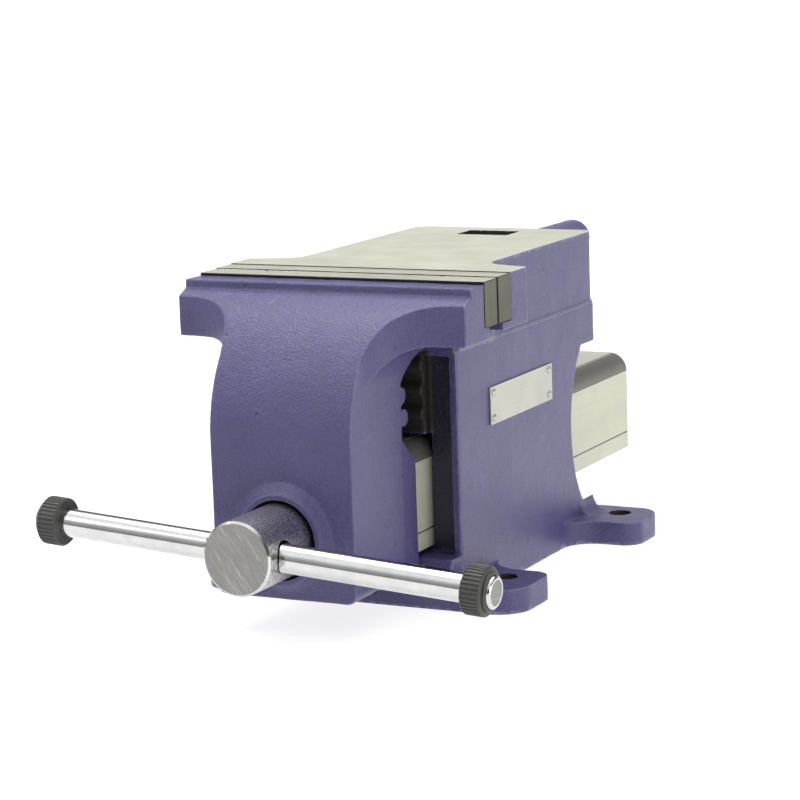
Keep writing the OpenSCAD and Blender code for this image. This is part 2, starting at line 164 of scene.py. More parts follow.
def light_the_studio():
    """A white sweep behind with a dark wall over it, a dim room in front, and three soft boxes."""
    world = bpy.data.worlds.new("studio")
    world.use_nodes = True
    tree = world.node_tree
    tree.nodes.clear()
    way = put(tree, "ShaderNodeTexCoord").outputs["Generated"]
    axes = put(tree, "ShaderNodeSeparateXYZ", {"Vector": way}).outputs
    height = put(tree, "ShaderNodeMapRange", {"Value": axes["Z"], "From Min": -0.2, "From Max": 1.0})
    behind = put(tree, "ShaderNodeMapRange", {"Value": axes["Y"], "From Min": -0.15, "From Max": 0.45},
                 interpolation_type="SMOOTHSTEP")
    sweep = put(tree, "ShaderNodeValToRGB", {"Fac": height})
    set_stops(sweep, [(0.0, 1.0), (0.32, 1.2), (0.38, 0.12), (0.62, 0.12), (0.80, 1.4), (1.0, 1.6)])
    room = put(tree, "ShaderNodeValToRGB", {"Fac": height})
    set_stops(room, [(0.0, 0.8), (0.155, 0.7), (0.18, 0.06), (0.215, 0.35), (0.5, 0.6), (0.75, 1.4)])
    both = put(tree, "ShaderNodeMix", {"Factor": behind, "A": room,
                                       "B": sweep}, data_type="RGBA")
    # the front right of the room is dark
    towards = put(tree, "ShaderNodeVectorMath", {0: way, 1: (0.8, -0.6, 0)}, operation="DOT_PRODUCT")
    shadow = put(tree, "ShaderNodeMapRange", {"Value": towards, "From Min": 0.35,
                                              "From Max": 0.85, "To Min": 1.0, "To Max": 0.25},
                 interpolation_type="SMOOTHSTEP")
    lit = put(tree, "ShaderNodeVectorMath", {0: both,
                                             "Scale": shadow}, operation="SCALE")
    sky = put(tree, "ShaderNodeBackground", {"Color": lit, "Strength": 0.9})
    put(tree, "ShaderNodeOutputWorld", {"Surface": sky})
    bpy.context.scene.world = world
    for name, place, size, watts in (
        ("soft_box_above", (-0.15, 0.25, 1.25), 1.1, 15),
        ("soft_box_left", (-1.1, -0.75, 0.9), 0.8, 6),
        ("soft_box_right", (1.2, -0.3, 0.3), 0.6, 4.5),
    ):
        lamp = bpy.data.lights.new(name, "AREA")
        lamp.shape = "SQUARE"
        lamp.size = size
        lamp.energy = watts
        box = bpy.data.objects.new(name, lamp)
        bpy.context.scene.collection.objects.link(box)
        aim = Vector((0, 0.05, 0.08)) - Vector(place)
        box.matrix_world = Matrix.Translation(place) @ aim.to_track_quat("-Z", "Y").to_matrix().to_4x4()


light_the_studio()


# ------------------------------------------------------------------ materials
def new_material(name):
    """A material with its shader and its coordinates: returns (material, tree, shader, coordinates)."""
    material = bpy.data.materials.new(name)
    material.use_nodes = True
    tree = material.node_tree
    tree.nodes.clear()
    shader = put(tree, "ShaderNodeBsdfPrincipled")
    put(tree, "ShaderNodeOutputMaterial", {"Surface": shader})
    place = put(tree, "ShaderNodeTexCoord").outputs["Object"]
    return material, tree, shader, place


def per_mm(size):
    """Texture scale at which one cell is size millimetres, on coordinates in metres."""
    return 1000.0 / size


def finish(tree, shader, shade, texture, rough, relief=None):
    """Ends a material: its colour, then a roughness and a relief that follow one texture.

    rough holds the roughness at the texture's 0 and 1, and relief a strength and a depth in mm.
    """
    tree.links.new(shade.outputs["Result"], shader.inputs["Base Color"])
    spread = put(tree, "ShaderNodeMapRange", {"Value": texture, "To Min": rough[0], "To Max": rough[1]})
    tree.links.new(spread.outputs["Result"], shader.inputs["Roughness"])
    if relief:
        bump = put(tree, "ShaderNodeBump", {"Height": texture, "Strength": relief[0],
                                            "Distance": mm(relief[1])})
        tree.links.new(bump.outputs["Normal"], shader.inputs["Normal"])


def make_light_table():
    """White acrylic lit from below: matt, with only the faintest tooth, and nearly no shadow."""
    material, tree, shader, place = new_material("lit_white_acrylic")
    tooth = put(tree, "ShaderNodeTexNoise", {"Vector": place, "Scale": per_mm(60), "Detail": 2})
    tint = put(tree, "ShaderNodeMix", {"Factor": tooth, "A": colour("#9b9b9a"),
                                       "B": colour("#a2a2a1")}, data_type="RGBA")
    tree.links.new(tint.outputs["Result"], shader.inputs["Base Color"])
    shader.inputs["Roughness"].default_value = 0.9
    shader.inputs["Specular IOR Level"].default_value = 0.1
    shader.inputs["Emission Color"].default_value = colour("#ffffff")
    shader.inputs["Emission Strength"].default_value = 0.8
    return material


def make_enamel(name, dark, light, edge_highlight):
    """Violet air-dry enamel sprayed over sand-cast iron.

    The grain of the sand shows through the paint as bumps 1 mm across with a few pits, less on the
    side faces, which were fettled smoother. Convex edges get a lighter colour, a painted highlight,
    and concave corners a darker colour, painted shade.
    """
    material, tree, shader, place = new_material(name)
    sand = put(tree, "ShaderNodeTexNoise", {"Vector": place, "Scale": per_mm(1.05), "Detail": 3,
                                            "Roughness": 0.55})
    peel = put(tree, "ShaderNodeTexNoise", {"Vector": place, "Scale": per_mm(0.9), "Detail": 2})
    cloud = put(tree, "ShaderNodeTexNoise", {"Vector": place, "Scale": per_mm(30), "Detail": 3})
    pits = put(tree, "ShaderNodeTexVoronoi", {"Vector": place, "Scale": per_mm(13)})
    pit = put(tree, "ShaderNodeMapRange", {"Value": pits, "From Min": 0.03,
                                           "From Max": 0.10})
    shade = put(tree, "ShaderNodeMix", {"Factor": cloud, "A": colour(dark),
                                        "B": colour(light)}, data_type="RGBA")
    grain = put(tree, "ShaderNodeMapRange", {"Value": sand, "From Min": 0.36,
                                             "From Max": 0.64, "To Min": 0.86, "To Max": 1.08})
    speck = put(tree, "ShaderNodeMapRange", {"Value": pit, "To Min": 0.45,
                                             "To Max": 1.0})
    bend = put(tree, "ShaderNodeNewGeometry").outputs["Pointiness"]
    # painted shade: the colour is darkened where pointiness is low, in concave corners and creases
    corner_shade = put(tree, "ShaderNodeMapRange", {"Value": bend, "From Min": 0.42, "From Max": 0.49,
                                              "To Min": 0.85, "To Max": 1.0})
    # deep: the sand grain times that painted corner shade
    deep = put(tree, "ShaderNodeMath", {0: grain, 1: corner_shade},
               operation="MULTIPLY")
    tone = put(tree, "ShaderNodeMath", {0: deep, 1: speck},
               operation="MULTIPLY")
    body = put(tree, "ShaderNodeMix", {"Factor": 1.0, "A": shade,
                                       "B": tone}, data_type="RGBA",
               blend_type="MULTIPLY")
    # painted highlight: where pointiness is high, on convex edges, the colour is lightened towards the
    # edge highlight colour
    thin = put(tree, "ShaderNodeMapRange", {"Value": bend, "From Min": 0.515, "From Max": 0.58,
                                            "To Max": 0.6})
    # rubbed: the colour with that painted edge highlight
    rubbed = put(tree, "ShaderNodeMix", {"Factor": thin, "A": body,
                                         "B": colour(edge_highlight)}, data_type="RGBA")
    tree.links.new(rubbed.outputs["Result"], shader.inputs["Base Color"])
    gloss = put(tree, "ShaderNodeMapRange", {"Value": sand, "To Min": 0.40,
                                             "To Max": 0.25})
    tree.links.new(gloss.outputs["Result"], shader.inputs["Roughness"])
    coarse = put(tree, "ShaderNodeMath", {0: sand, 1: pit},
                 operation="MULTIPLY")
    facing = put(tree, "ShaderNodeSeparateXYZ",
                 {0: put(tree, "ShaderNodeNewGeometry").outputs["True Normal"]})
    sideways = put(tree, "ShaderNodeMath", {0: facing.outputs["X"]}, operation="ABSOLUTE")
    fettled = put(tree, "ShaderNodeMapRange", {"Value": sideways, "From Min": 0.75,
                                               "From Max": 0.97, "To Min": 0.95, "To Max": 0.4})
    relief = put(tree, "ShaderNodeBump", {"Height": coarse,
                                          "Strength": fettled,
                                          "Distance": mm(0.62)})
    skin = put(tree, "ShaderNodeBump", {"Height": peel, "Strength": 0.5,
                                        "Distance": mm(0.13), "Normal": relief})
    tree.links.new(skin.outputs["Normal"], shader.inputs["Normal"])
    shader.inputs["IOR"].default_value = 1.5
    return material


def make_raw_iron():
    """Cast iron left bare inside the holes: dull, nearly black, with grey where a tool has rubbed; also
    painted shade on the pipe teeth.
    """
    material, tree, shader, place = new_material("bare_cast_iron_and_painted_shade")
    rub = put(tree, "ShaderNodeTexNoise", {"Vector": place, "Scale": per_mm(2.5), "Detail": 4})
    shade = put(tree, "ShaderNodeMix", {"Factor": rub, "A": colour("#1c1a18"),
                                        "B": colour("#3c3934")}, data_type="RGBA")
    finish(tree, shader, shade, rub, (0.75, 0.55))
    shader.inputs["Metallic"].default_value = 0.4
    return material


def make_ground_metal(name, light, dark, along, line_mm, roughness, metallic=1.0):
    """Bare ground or milled metal: a satin sheen broken by fine parallel tool lines.

    along is the axis that the lines run along; real lines are under 0.1 mm apart, so they are
    drawn coarser to show.
    """
    material, tree, shader, place = new_material(name)
    squeeze = [per_mm(line_mm)] * 3
    squeeze["XYZ".index(along)] = per_mm(60)
    grain_place = put(tree, "ShaderNodeMapping", {"Vector": place, "Scale": squeeze})
    grain = put(tree, "ShaderNodeTexNoise", {"Vector": grain_place, "Scale": 1.0,
                                             "Detail": 4, "Roughness": 0.65})
    cloud = put(tree, "ShaderNodeTexNoise", {"Vector": place, "Scale": per_mm(22), "Detail": 4})
    mixed = put(tree, "ShaderNodeMix", {"Factor": 0.5, "A": grain,
                                        "B": cloud})
    tone = put(tree, "ShaderNodeMapRange", {"Value": mixed, "From Min": 0.32,
                                            "From Max": 0.66})
    shade = put(tree, "ShaderNodeMix", {"Factor": tone, "A": colour(dark),
                                        "B": colour(light)}, data_type="RGBA")
    finish(tree, shader, shade, grain, (roughness - 0.08, roughness + 0.12), (0.6, 0.01))
    shader.inputs["Metallic"].default_value = metallic
    return material


def make_forged_steel():
    """Forged steel, turned but not polished: the scale left in low spots makes a fine dark mottle."""
    material, tree, shader, place = new_material("forged_turned_steel")
    scale = put(tree, "ShaderNodeTexNoise", {"Vector": place, "Scale": per_mm(1.2), "Detail": 3,
                                             "Roughness": 0.65})
    stain = put(tree, "ShaderNodeTexNoise", {"Vector": place, "Scale": per_mm(9), "Detail": 3})
    low = put(tree, "ShaderNodeMapRange", {"Value": scale, "From Min": 0.40,
                                           "From Max": 0.60})
    shade = put(tree, "ShaderNodeMix", {"Factor": low, "A": colour("#909095"),
                                        "B": colour("#e2e2dc")}, data_type="RGBA")
    rust = put(tree, "ShaderNodeMapRange", {"Value": stain, "From Min": 0.60,
                                            "From Max": 0.74, "To Max": 0.35})
    body = put(tree, "ShaderNodeMix", {"Factor": rust, "A": shade,
                                       "B": colour("#a58c7c")}, data_type="RGBA")
    finish(tree, shader, body, scale, (0.42, 0.20), (0.7, 0.16))
    shader.inputs["Metallic"].default_value = 1.0
    return material


def make_scratched_face():
    """Steel faced on a belt grinder: straight scratches of uneven depth all slant one way."""
    material, tree, shader, place = new_material("belt_ground_steel")
    turned = put(tree, "ShaderNodeMapping", {"Vector": place, "Rotation": (0, math.radians(-57), 0)})
    fine_place = put(tree, "ShaderNodeMapping", {"Vector": turned,
                                                 "Scale": (per_mm(7), per_mm(7), per_mm(0.18))})
    deep_place = put(tree, "ShaderNodeMapping", {"Vector": turned,
                                                 "Scale": (per_mm(9), per_mm(9), per_mm(0.4))})
    fine = put(tree, "ShaderNodeTexNoise", {"Vector": fine_place, "Scale": 1.0,
                                            "Detail": 3, "Roughness": 0.7})
    deep = put(tree, "ShaderNodeTexNoise", {"Vector": deep_place, "Scale": 1.0,
                                            "Detail": 2})
    cut = put(tree, "ShaderNodeMapRange", {"Value": deep, "From Min": 0.55,
                                           "From Max": 0.68})
    both = put(tree, "ShaderNodeMix", {"Factor": 0.4, "A": fine,
                                       "B": cut})
    tone = put(tree, "ShaderNodeMapRange", {"Value": both, "From Min": 0.2,
                                            "From Max": 0.6})
    shade = put(tree, "ShaderNodeMix", {"Factor": tone, "A": colour("#82817f"),
                                        "B": colour("#a5a4a2")}, data_type="RGBA")
    tree.links.new(shade.outputs["Result"], shader.inputs["Base Color"])
    shader.inputs["Metallic"].default_value = 1.0
    shader.inputs["Roughness"].default_value = 0.42
    relief = put(tree, "ShaderNodeBump", {"Height": both, "Strength": 0.7,
                                          "Distance": mm(0.08)})
    tree.links.new(relief.outputs["Normal"], shader.inputs["Normal"])
    return material


def make_chrome():
    """Bright chrome plate on drawn bar: mirror-like, with faint waves along the bar."""
    material, tree, shader, place = new_material("chrome_plated_steel")
    long_place = put(tree, "ShaderNodeMapping", {"Vector": place, "Scale": (per_mm(70), per_mm(2.2),
                                                                            per_mm(2.2))})
    wave = put(tree, "ShaderNodeTexNoise", {"Vector": long_place, "Scale": 1.0,
                                            "Detail": 3})
    speck = put(tree, "ShaderNodeTexNoise", {"Vector": place, "Scale": per_mm(7), "Detail": 5})
    shade = put(tree, "ShaderNodeMix", {"Factor": speck, "A": colour("#b8b9ba"),
                                        "B": colour("#dadbd9")}, data_type="RGBA")
    finish(tree, shader, shade, wave, (0.06, 0.18), (0.35, 0.03))
    shader.inputs["Metallic"].default_value = 1.0
    return material


def make_rubber():
    """Moulded hard rubber: nearly black, dull, with greyish bloom and mould grain."""
    material, tree, shader, place = new_material("moulded_black_rubber")
    grain = put(tree, "ShaderNodeTexNoise", {"Vector": place, "Scale": per_mm(0.7), "Detail": 4})
    bloom = put(tree, "ShaderNodeTexNoise", {"Vector": place, "Scale": per_mm(8), "Detail": 3})
    shade = put(tree, "ShaderNodeMix", {"Factor": bloom, "A": colour("#2b2c2a"),
                                        "B": colour("#484946")}, data_type="RGBA")
    finish(tree, shader, shade, grain, (0.35, 0.60), (0.4, 0.05))
    return material


def make_black_oxide():
    """Black-oxided alloy steel: dark and a little oily, brown where it is rubbed."""
    material, tree, shader, place = new_material("black_oxide_steel")
    rub = put(tree, "ShaderNodeTexNoise", {"Vector": place, "Scale": per_mm(3), "Detail": 4})
    shade = put(tree, "ShaderNodeMix", {"Factor": rub, "A": colour("#1b1b19"),
                                        "B": colour("#34322a")}, data_type="RGBA")
    finish(tree, shader, shade, rub, (0.38, 0.56))
    shader.inputs["Metallic"].default_value = 0.6
    return material


LIGHT_TABLE = make_light_table()
# the last colour of each enamel is its painted edge highlight
ENAMEL = make_enamel("enamel_on_sand_cast_iron", "#3f3a66", "#524c7b", "#918eb8")
# a darker copy of the enamel, painted shade for the recess behind the moving jaw
SHADED_RECESS_ENAMEL = make_enamel("enamel_painted_shade_in_recess", "#1f1c30", "#2a2640", "#6d6994")
# a lighter copy of the enamel, painted highlight for the ledge
LEDGE_HIGHLIGHT_ENAMEL = make_enamel("enamel_painted_highlight_on_ledge", "#6a6780", "#77748c", "#a5a3b5")
# bare iron for the holes, also used as painted shade on the pipe teeth
BARE_IRON_AND_SHADE = make_raw_iron()
GROUND_IRON = make_ground_metal("ground_cast_iron", "#f6f6e2", "#dadac6", "X", 0.6, 0.32)
JAW_STEEL = make_ground_metal("ground_tool_steel", "#e6e6d3", "#c6c6b4", "X", 0.6, 0.32)
SAWN_STEEL = make_ground_metal("sawn_tool_steel", "#78786a", "#5a5a4f", "Z", 0.9, 0.5)
BAR_STEEL = make_ground_metal("milled_bar_steel", "#c6c6b9", "#b8b8aa", "Y", 1.2, 0.20, metallic=0.65)
BAR_SIDE = make_ground_metal("belt_ground_bar_side", "#c9c9b6", "#babaa8", "Y", 1.2, 0.38, metallic=0.2)
# a darker steel: painted dark reflection on the bar's rounded corners
BAR_CORNER_DARK_REFLECTION = make_ground_metal("bar_corner_painted_dark_reflection", "#76746e", "#64625c", "Y", 1.2, 0.42, metallic=0.4)
TURNED_STEEL = make_ground_metal("turned_screw_steel", "#bdbdb6", "#93938c", "X", 0.4, 0.32)
NAME_METAL = make_ground_metal("brushed_aluminium", "#c6c6bd", "#b4b4ab", "Y", 0.4, 0.40)
ZINC = make_ground_metal("zinc_plated_steel", "#c6c8c9", "#a4a7a9", "Z", 0.8, 0.34)
BRONZE = make_ground_metal("bored_bronze", "#c39a5c", "#97713c", "Z", 0.6, 0.36)
FORGED = make_forged_steel()
SCRATCHED = make_scratched_face()
CHROME = make_chrome()
RUBBER = make_rubber()
BLACK_OXIDE = make_black_oxide()


# ------------------------------------------------------------------ making pieces
def new_piece(name, mesh, *materials):
    """Links a mesh as an object at the origin, with its materials."""
    mesh.materials.clear()
    for material in materials:
        mesh.materials.append(material)
    piece = bpy.data.objects.new(name, mesh)
    bpy.context.scene.collection.objects.link(piece)
    return piece


def merged_copy(node):
    """A copy of a CAD node's mesh with its loose triangles joined."""
    shape = bmesh.new()
    shape.from_mesh(NODES[node].data)
    bmesh.ops.remove_doubles(shape, verts=shape.verts, dist=mm(0.002))
    mesh = bpy.data.meshes.new(node + "_copy")
    shape.to_mesh(mesh)
    shape.free()
    for layer in [a for a in mesh.attributes if a.name == "custom_normal"]:
        mesh.attributes.remove(layer)
    return mesh


def settle(piece):
    """Turns a piece's modifiers into plain mesh and removes them."""
    graph = bpy.context.evaluated_depsgraph_get()
    mesh = bpy.data.meshes.new_from_object(piece.evaluated_get(graph), depsgraph=graph)
    piece.modifiers.clear()
    old, piece.data = piece.data, mesh
    bpy.data.meshes.remove(old)
    return piece


def smooth_by_angle(piece, degrees=35):
    piece.data.shade_smooth()
    piece.data.set_sharp_from_angle(angle=math.radians(degrees))


def hand_over(piece, body, slot, *nodes):
    """Puts a finished piece on its body and hides the CAD nodes it stands for; its finish, slot, is not
    used.
    """
    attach(piece, body)
    if nodes:
        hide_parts(*nodes)
    return piece


def points_of(mesh):
    flat = np.empty(len(mesh.vertices) * 3, np.float32)
    mesh.vertices.foreach_get("co", flat)
    return flat.reshape(-1, 3)


def set_points(mesh, points):
    mesh.vertices.foreach_set("co", np.ascontiguousarray(points, np.float32).ravel())
    mesh.update()


def paint_faces(piece, material, test):
    """Gives the faces that pass the test, on their middle in mm and normal, another of its materials."""
    index = piece.data.materials.find(material.name)
    for face in piece.data.polygons:
        if test(face.center * 1000, face.normal):
            face.material_index = index


# ------------------------------------------------------------------ the two castings
STOCK = mm(4)              # iron left on the faces that are machined after casting


def cut_flat(mesh, axis, level, way):
    """Machines a casting down to a plane, and closes the cut with one flat face."""
    shape = bmesh.new()
    shape.from_mesh(mesh)
    place, normal = Vector((0, 0, 0)), Vector((0, 0, 0))
    place[axis] = level
    normal[axis] = way
    everything = shape.verts[:] + shape.edges[:] + shape.faces[:]
    bmesh.ops.bisect_plane(shape, geom=everything, dist=mm(0.001), plane_co=place, plane_no=normal,
                           clear_outer=True)
    rim = [edge for edge in shape.edges if edge.is_boundary]
    made = bmesh.ops.triangle_fill(shape, edges=rim, use_beauty=True, use_dissolve=False, normal=normal)
    for face in made["geom"]:
        if isinstance(face, bmesh.types.BMFace):
            face.material_index = mesh.materials.find(GROUND_IRON.name)
            if face.normal.dot(normal) < 0:
                face.normal_flip()
    shape.to_mesh(mesh)
    shape.free()


def sand_cast(node, name, voxel_mm, rounding, share, machined=()):
    """The casting as it leaves the sand, its edges rounded and its walls a little uneven."""
    mesh = merged_copy(node)
    limits = points_of(mesh)
    low, high = limits.min(0), limits.max(0)
    points = limits.copy()
    for axis, level, way in machined:
        on_face = np.abs(points[:, axis] - level) < mm(0.01)
        points[on_face, axis] += way * STOCK
    set_points(mesh, points)
    piece = new_piece(name, mesh, ENAMEL, GROUND_IRON, BARE_IRON_AND_SHADE, SHADED_RECESS_ENAMEL, LEDGE_HIGHLIGHT_ENAMEL)
    sand = piece.modifiers.new("sand", "REMESH")
    sand.mode = "VOXEL"
    sand.voxel_size = mm(voxel_mm)
    rounded = piece.modifiers.new("rounded", "SMOOTH")
    rounded.factor = 0.5
    rounded.iterations = rounding
    settle(piece)
    points = points_of(piece.data)
    flat = np.empty_like(points)
    piece.data.vertices.foreach_get("normal", flat.ravel())
    waves = np.array([
        noise.noise(Vector(p) * 90) * 0.6 + noise.noise(Vector(p) * 260) * 0.4 for p in points.tolist()
    ])
    points += flat * (mm(0.2) * (waves[:, None] - 0.3))
    for axis, level, way in machined:
        if way > 0:
            high[axis] += STOCK
        else:
            low[axis] -= STOCK
    set_points(piece.data, np.clip(points, low, high))
    thin = piece.modifiers.new("thin", "DECIMATE")
    thin.ratio = share
    settle(piece)
    for axis, level, way in machined:
        cut_flat(piece.data, axis, level, way)
    smooth_by_angle(piece, 42)
    return piece


def is_bare(middle, normal):
    """True on the jaw plate's seat and on the walls of the tool hole and the bench bolt holes."""
    if abs(normal.z) > 0.8:
        return False
    if normal.y < -0.7 and abs(middle.y - PLATE_T) < 0.8 and middle.z > TOP_Z - PLATE_H:
        return True
    in_tool_hole = (abs(middle.x) < TOOL_HOLE_X + 1 and TOP_Z - TOOL_HOLE_DEEP < middle.z < TOP_Z - 0.3
                    and TOOL_HOLE_Y[0] - 1 < middle.y < TOOL_HOLE_Y[1] + 1)
    from_holes = [math.hypot(abs(middle.x) - BENCH_BOLT_X, middle.y - y) for y in BENCH_BOLT_Y]
    return in_tool_hole or min(from_holes) < BENCH_BOLT_R + 0.7


def in_fixed_throat(middle, normal):
    """True in the recess behind the moving jaw, which gets the darker enamel as painted shade."""
    return (abs(middle.x) < RECESS_X and 1.8 < middle.y < THROAT_Y[1]
            and RECESS_Z[0] < middle.z < RECESS_Z[1])


def on_fixed_pipe_teeth(middle, normal):
    """True on the fixed pipe teeth, which get the dark bare-iron colour as painted shade."""
    return (abs(middle.x) < PIPE_JAW_X + 1 and -2 < middle.y < THROAT_Y[1]
            and PIPE_JAW_Z[0] < middle.z < LEDGE_Z - 0.5)


def on_moving_pipe_teeth(middle, normal):
    """True on the moving pipe teeth and the pocket over them, which get the dark bare-iron colour as
    painted shade.
    """
    return (normal.y > 0.05 and middle.y > THROAT_Y[0] and abs(middle.x) < PIPE_JAW_X
            and PIPE_JAW_Z[0] < middle.z < PIPE_JAW_Z[1])


def on_ledge(middle, normal):
    """True on the narrow step between the body and the anvil, which gets a lighter enamel as a painted
    highlight.
    """
    return BODY_SIDE_X - 2 < abs(middle.x) < BODY_SIDE_X + 2 and -1.3 < middle.z - LEDGE_Z < 0.3


def in_the_bore(middle, normal):
    """True inside the bore for the spindle, behind the front face of its boss."""
    return math.hypot(middle.x, middle.z - AXIS_Z) < BORE_R + 0.3 and middle.y > FRONT_Y - 4.4


fixed = sand_cast("fixed_body", "fixed_jaw_casting", 0.8, 2, 0.3,
                  machined=((2, mm(TOP_Z), 1), (2, 0.0, -1)))
# painted shade: a darker enamel in the recess behind the moving jaw
paint_faces(fixed, SHADED_RECESS_ENAMEL, in_fixed_throat)
# painted shade: the fixed pipe teeth get the dark bare-iron colour
paint_faces(fixed, BARE_IRON_AND_SHADE, on_fixed_pipe_teeth)
# painted highlight: a lighter enamel on the ledge
paint_faces(fixed, LEDGE_HIGHLIGHT_ENAMEL, on_ledge)
paint_faces(fixed, BARE_IRON_AND_SHADE, is_bare)
hand_over(fixed, "base", "cast_paint", "fixed_body")
moving = sand_cast("moving_jaw", "moving_jaw_casting", 0.55, 2, 0.4)
# painted shade: the moving pipe teeth and the pocket over them get the dark bare-iron colour
paint_faces(moving, BARE_IRON_AND_SHADE, on_moving_pipe_teeth)
paint_faces(moving, BARE_IRON_AND_SHADE, in_the_bore)
hand_over(moving, "front", "cast_paint", "moving_jaw")


# ------------------------------------------------------------------ machined pieces
def break_edges(piece, width_mm, segments=2, angle=30):
    """Breaks a piece's sharp edges with a small chamfer and keeps its flat faces flat."""
    edge = piece.modifiers.new("edge", "BEVEL")
    edge.limit_method = "ANGLE"
    edge.angle_limit = math.radians(angle)
    edge.width = mm(width_mm)
    edge.segments = segments
    settle(piece)
    smooth_by_angle(piece, 40)
    even = piece.modifiers.new("even", "WEIGHTED_NORMAL")
    even.weight = 100
    even.keep_sharp = True
    settle(piece)


def eased(node, name, width_mm, *materials, segments=2, moved=()):
    """A machined piece with its sharp edges broken.

    moved holds (axis, level, distance): a flat face at that level is first moved by the distance.
    """
    piece = new_piece(name, merged_copy(node), *materials)
    points = points_of(piece.data)
    for axis, level, distance in moved:
        points[np.abs(points[:, axis] - mm(level)) < mm(0.01), axis] += mm(distance)
    set_points(piece.data, points)
    shape = bmesh.new()
    shape.from_mesh(piece.data)
    bmesh.ops.dissolve_limit(shape, angle_limit=math.radians(0.5), verts=shape.verts, edges=shape.edges)
    shape.to_mesh(piece.data)
    shape.free()
    break_edges(piece, width_mm, segments)
    return piece


def make_slide_bar():
    """The channel: milled top, belt-ground sides, mill scale left inside, and a darker colour on its
    rounded corners as a painted dark reflection.
    """
    bar = eased("slide_bar", "slide_bar_milled", 0.5, BAR_STEEL, SAWN_STEEL, BAR_SIDE, BAR_CORNER_DARK_REFLECTION)
    low, high = (Vector(corner) * 1000 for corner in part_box("slide_bar"))

    def is_corner(middle, normal):
        return 0.04 < normal.z < 0.96 and abs(normal.x) > 0.25

    def is_inside(middle, normal):
        return (abs(middle.x) < high.x - BAR_WALL and low.y + 1 < middle.y < high.y - 1
                and middle.z < high.z - BAR_WALL)

    paint_faces(bar, BAR_SIDE, lambda middle, normal: abs(normal.x) > 0.98)
    # painted dark reflection: the rounded corners get the darker steel
    paint_faces(bar, BAR_CORNER_DARK_REFLECTION, is_corner)
    paint_faces(bar, SAWN_STEEL, is_inside)
    hand_over(bar, "front", "bar_steel", "slide_bar")


def make_jaw_plate(node, name, body, face_y, way, drop):
    """A jaw plate: ground on top, sawn at its ends, black elsewhere, its teeth set on a lowered face.

    Its top lies a little below the casting's, by drop mm, so its black side shows as a line.
    """
    def is_end(middle, normal):
        return abs(normal.x) > 0.9 and abs(middle.x) > JAW_WIDTH / 2 - 1

    plate = eased(node, name, 0.4, BLACK_OXIDE, JAW_STEEL, SAWN_STEEL, segments=1,
                  moved=((1, face_y, way * TOOTH_H), (2, TOP_Z, -drop)))
    paint_faces(plate, JAW_STEEL, lambda middle, normal: normal.z > 0.9)
    paint_faces(plate, SAWN_STEEL, is_end)
    hand_over(plate, body, "jaw_steel", node)


# ------------------------------------------------------------------ repeated shapes, by geometry nodes
def new_tree(name, inputs):
    """A geometry tree with named inputs, each (name, kind): returns (tree, group input node)."""
    tree = bpy.data.node_groups.new(name, "GeometryNodeTree")
    tree.interface.new_socket(name="Geometry", in_out="INPUT", socket_type="NodeSocketGeometry")
    for label, kind in inputs:
        tree.interface.new_socket(name=label, in_out="INPUT", socket_type="NodeSocket" + kind)
    tree.interface.new_socket(name="Geometry", in_out="OUTPUT", socket_type="NodeSocketGeometry")
    return tree, put(tree, "NodeGroupInput")


def end_tree(tree, geometry, material):
    """Ends a tree in real mesh of one material."""
    real = put(tree, "GeometryNodeRealizeInstances", {"Geometry": geometry})
    dressed = put(tree, "GeometryNodeSetMaterial", {"Geometry": real,
                                                    "Material": material})
    put(tree, "NodeGroupOutput", {"Geometry": dressed})


def grow(name, tree, values, mesh=None):
    """Runs a tree on a mesh, with its inputs set by name, and keeps the result as plain mesh."""
    piece = new_piece(name, mesh or bpy.data.meshes.new(name))
    step = piece.modifiers.new("grow", "NODES")
    step.node_group = tree
    for socket in tree.interface.items_tree:
        if socket.in_out == "INPUT" and socket.name in values:
            step[socket.identifier] = values[socket.name]
    settle(piece)
    return piece


